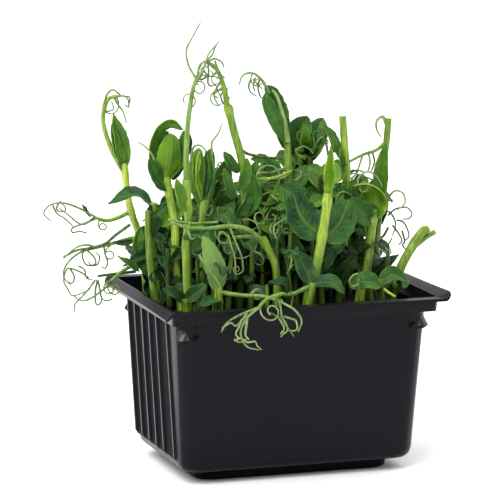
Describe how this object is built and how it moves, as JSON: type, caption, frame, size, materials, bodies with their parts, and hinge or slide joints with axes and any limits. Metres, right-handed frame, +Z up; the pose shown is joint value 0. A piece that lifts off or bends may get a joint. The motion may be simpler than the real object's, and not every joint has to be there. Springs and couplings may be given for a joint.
{
  "type": "tray of pea shoots",
  "caption": "Rectangular ribbed plastic growing tray filled with potting soil and densely planted with tall pea shoots bearing buds, leaflets and curling tendrils.",
  "frame": {"origin": "centre of the flat underside of the tray's foot", "axes": "+Z up, +X along the tray's long side, -Y towards the front side of the tray"},
  "size_m": [0.1818, 0.1147, 0.2131],
  "materials": {
    "tray_plastic": "semi-gloss black thin plastic",
    "soil": "matt crumbly dark brown compost",
    "shoot_bright": "satin yellow-green plant",
    "shoot_green": "satin mid green plant",
    "shoot_deep": "satin dark blue-green plant"
  },
  "bodies": {
    "root": {"tray": "tray_plastic", "growing_medium": "soil", "shoot_01": "shoot_bright", "shoot_02": "shoot_green", "shoot_03": "shoot_bright", "shoot_04": "shoot_green", "shoot_05": "shoot_green", "shoot_06": "shoot_bright", "shoot_07": "shoot_green", "shoot_08": "shoot_deep", "shoot_09": "shoot_green", "shoot_10": "shoot_bright", "shoot_11": "shoot_bright", "shoot_12": "shoot_bright", "shoot_13": "shoot_bright", "shoot_14": "shoot_green", "shoot_15": "shoot_green", "shoot_16": "shoot_green", "shoot_17": "shoot_deep", "shoot_18": "shoot_deep", "shoot_19": "shoot_deep", "shoot_20": "shoot_deep", "shoot_21": "shoot_bright", "shoot_22": "shoot_deep", "shoot_23": "shoot_green", "shoot_24": "shoot_deep", "shoot_25": "shoot_deep", "shoot_26": "shoot_green", "shoot_27": "shoot_green", "shoot_28": "shoot_deep", "shoot_29": "shoot_deep", "shoot_30": "shoot_green"}
  },
  "joints": []
}
